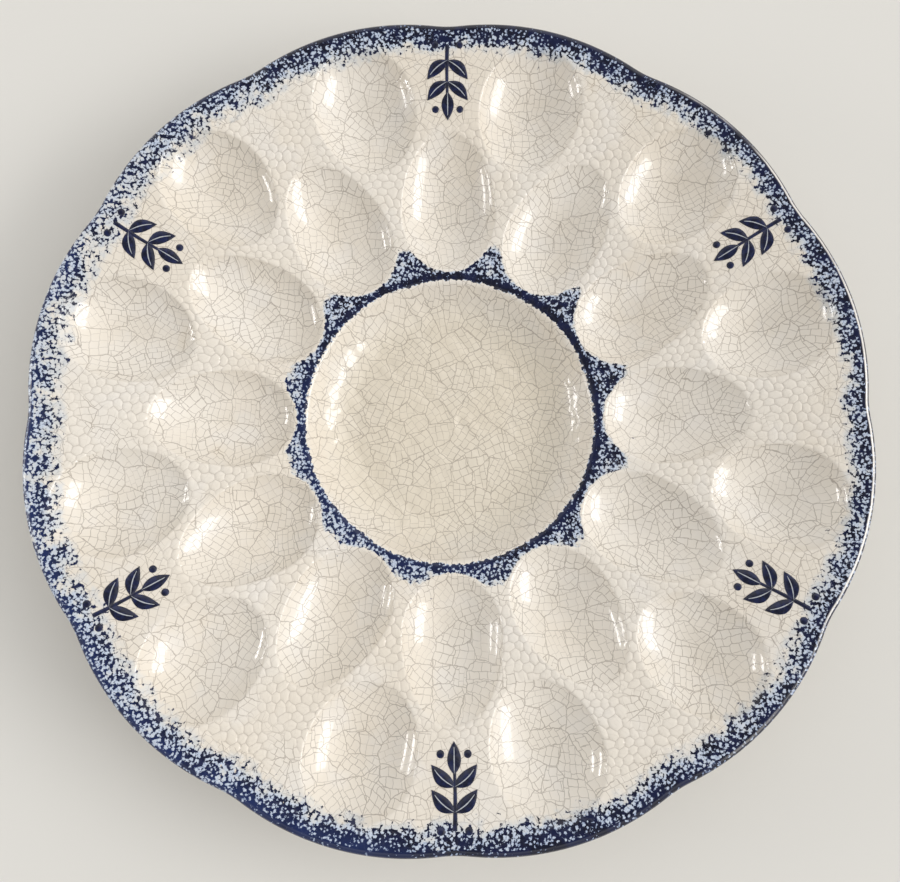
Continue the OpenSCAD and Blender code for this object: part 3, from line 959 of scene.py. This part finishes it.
def sprigPieces():
    bm = bmesh.new()
    plan, lift, across = {}, {}, {}

    def lay(verts, upper, toPlan, middle):
        for v in verts:
            (px, py), side, dome = toPlan(v.co)
            plan[v] = turnedBy(px, py, middle)
            lift[v] = sprig["lift"] + sprig["rise"] * dome if v in upper else -skin["under"]
            across[v] = side

    def leafAt(alongStem, turned):
        way = (turned > 0) - (turned < 0)
        early, blunt = sprig["belly"]

        def toPlan(co):
            s = (co.x + 1) / 2
            belly = max(math.sin(math.pi * min(max(s, 0.0), 1.0) ** early), 0.0) ** blunt
            half = sprig["leafW"] / 2 * max(belly, sprig["tipShare"])
            bend = sprig["leafBend"] * math.sin(math.pi * s) * way
            px, py = s * sprig["leafL"] + sprig["apart"], co.y * half + bend
            px, py = turnedBy(px, py, math.radians(180 + turned))
            side = abs(co.y) + 6 * max(0.0, s - sprig["veinEnd"])  # the vein ends before the tip
            return (sprig["startR"] - alongStem + px, py), side, 1 - co.y ** 2
        return toPlan

    def stemAlong(co):
        s = (co.x + 1) / 2
        half = sprig["stemW"] / 2 * (1.25 - sprig["stemTaper"] * s)
        px = sprig["startR"] - s * (sprig["stemL"] + sprig["stemOver"])
        py = co.y * half + sprig["stemSway"] * math.sin(3 * s)
        return (px, py), 1.0, sprig["stemDome"] * (1 - co.y ** 2)

    for k in range(sprig["count"]):
        middle = (k + 0.5) * 2 * math.pi / sprig["count"]
        places = [(sprig["stemL"] - sprig["stemW"], 0.0)]
        for share in sprig["pairs"]:
            places += [(sprig["stemL"] * share, side * sprig["lean"]) for side in (-1, 1)]
        for alongStem, turned in places:
            lay(*gridSkin(bm, sprig["leafRows"], sprig["leafAcross"]), leafAt(alongStem, turned), middle)
        lay(*gridSkin(bm, sprig["stemRows"], sprig["stemAcross"]), stemAlong, middle)
        for alongBerry in sprig["berryAlong"]:
            for side in (-1, 1):
                made = bmesh.ops.create_uvsphere(bm, u_segments=20, v_segments=12, radius=1)
                for v in made["verts"]:
                    px = sprig["startR"] - alongBerry + v.co.x * sprig["berryD"] / 2
                    py = side * sprig["berryOff"] + v.co.y * sprig["berryD"] / 2
                    plan[v] = turnedBy(px, py, middle)
                    lift[v] = sprig["berryLift"] + sprig["berryRise"] * v.co.z
                    across[v] = 1.0
    bm.verts.index_update()
    flat = np.array([plan[v] for v in bm.verts])
    rise = np.array([lift[v] for v in bm.verts])
    side = np.array([across[v] for v in bm.verts])
    places = topPoint(flat[:, 0], flat[:, 1], rise)
    settle("leafSprigs", bm, places, flat, np.zeros(len(flat)), cobaltBrush,
           ["leaf_sprigs"], {"across": side})


sprigPieces()


# floor, light and camera

stage = {"floor": rgb(221, 219, 214), "size": 6.0, "rough": 0.9, "gloss": 0.1}


def makeFloor():
    bm = bmesh.new()
    bmesh.ops.create_grid(bm, x_segments=1, y_segments=1, size=stage["size"] / 2)
    mesh = meshOf("floor", bm)
    floor = newObject("floor", mesh)
    material, _, shader, _ = newMaterial("paleFloor")
    shader.inputs["Base Color"].default_value = stage["floor"]
    shader.inputs["Roughness"].default_value = stage["rough"]
    shader.inputs["Specular IOR Level"].default_value = stage["gloss"]
    mesh.materials.append(material)


makeFloor()

tube = {"size": (0.44, 0.07), "watts": 1.3, "tint": (1, 0.99, 0.98)}
lamps = {
    "right": {"at": (2.87, -0.36, 1.81), "size": (2.36, 1.01), "watts": 45, "tint": (1, 0.99, 0.975)},
    "leftLow": {"at": (-1.15, 0.05, 0.215), **tube},
    "leftHigh": {"at": (-1.08, 0.05, 0.47), **tube},
}
room = {  # a soft glow round the right lamp, and dark straight above, where the camera stands
    "left": (0.40, 0.397, 0.392, 1), "right": (0.58, 0.577, 0.57, 1), "back": (0.90, 0.895, 0.885, 1),
    "aboveLeft": (0.70, 0.696, 0.69, 1), "aboveRight": (1.10, 1.094, 1.083, 1),
    "zenith": (0.2, 0.198, 0.196, 1),
    "glow": (1.8, 1.78, 1.755, 1), "glowFrom": (31.0, 10.0),
}


def makeLamps():
    for name, lamp in lamps.items():
        data = bpy.data.lights.new(name + "Lamp", "AREA")
        data.shape, data.size, data.size_y = "RECTANGLE", *lamp["size"]
        data.energy, data.color = lamp["watts"], lamp["tint"]
        obj = newObject(name + "Lamp", data)
        obj.location = lamp["at"]
        obj.rotation_euler = (-Vector(lamp["at"])).to_track_quat("-Z", "Y").to_euler()
    world = bpy.data.worlds.new("softRoom")
    bpy.context.scene.world = world
    world.use_nodes = True
    tree = world.node_tree
    background = tree.nodes["Background"]
    way = tree.nodes.new("ShaderNodeTexCoord").outputs["Generated"]
    split = parts(tree, way)
    sides = mixColour(tree, ramp(tree, split["X"], -0.6, 0.9), room["left"], room["right"])
    sides = mixColour(tree, ramp(tree, split["Y"], -0.3, 0.9), sides, room["back"])
    above = mixColour(tree, ramp(tree, split["X"], -0.6, 0.6), room["aboveLeft"], room["aboveRight"])
    sky = mixColour(tree, ramp(tree, split["Z"], 0.45, 0.80), sides, above)
    sky = mixColour(tree, ramp(tree, split["Z"], 0.90, 0.975), sky, room["zenith"])
    toLamp = along(tree, way, Vector(lamps["right"]["at"]).normalized())
    edges = [math.cos(math.radians(a)) for a in room["glowFrom"]]
    put(tree, mixColour(tree, ramp(tree, toLamp, *edges), sky, room["glow"]), background.inputs["Color"])


makeLamps()

lens = {
    "distance": 0.358, "elevation": 78.41, "azimuth": -3.45, "pitch": -2.03, "yaw": -0.05, "roll": 2.95,
    "aimH": 0.0420, "focal": 903.0, "imageW": 900.0, "sensor": 36.0,
}


def makeCamera():
    az, el = math.radians(lens["azimuth"]), math.radians(lens["elevation"])
    back = Vector((math.sin(az) * math.cos(el), -math.cos(az) * math.cos(el), math.sin(el)))
    right = Vector((math.cos(az), math.sin(az), 0))
    up = back.cross(right)
    spot = back * lens["distance"] + Vector((0, 0, lens["aimH"]))
    tip = Matrix.Rotation(math.radians(lens["pitch"]), 3, right)
    back, up = tip @ back, tip @ up
    tip = Matrix.Rotation(math.radians(lens["yaw"]), 3, up)
    back, right = tip @ back, tip @ right
    tip = Matrix.Rotation(math.radians(lens["roll"]), 3, back)
    up, right = tip @ up, tip @ right
    data = bpy.data.cameras.new("camera")
    data.sensor_fit, data.sensor_width = "HORIZONTAL", lens["sensor"]
    data.lens = lens["sensor"] * lens["focal"] / lens["imageW"]
    data.clip_start, data.clip_end = 0.01, 20
    camera = newObject("camera", data)
    camera.matrix_world = Matrix((right, up, back)).transposed().to_4x4()
    camera.location = spot
    bpy.context.scene.camera = camera


makeCamera()
bpy.context.scene.view_settings.view_transform = "Standard"
print("floor, light and camera ready")
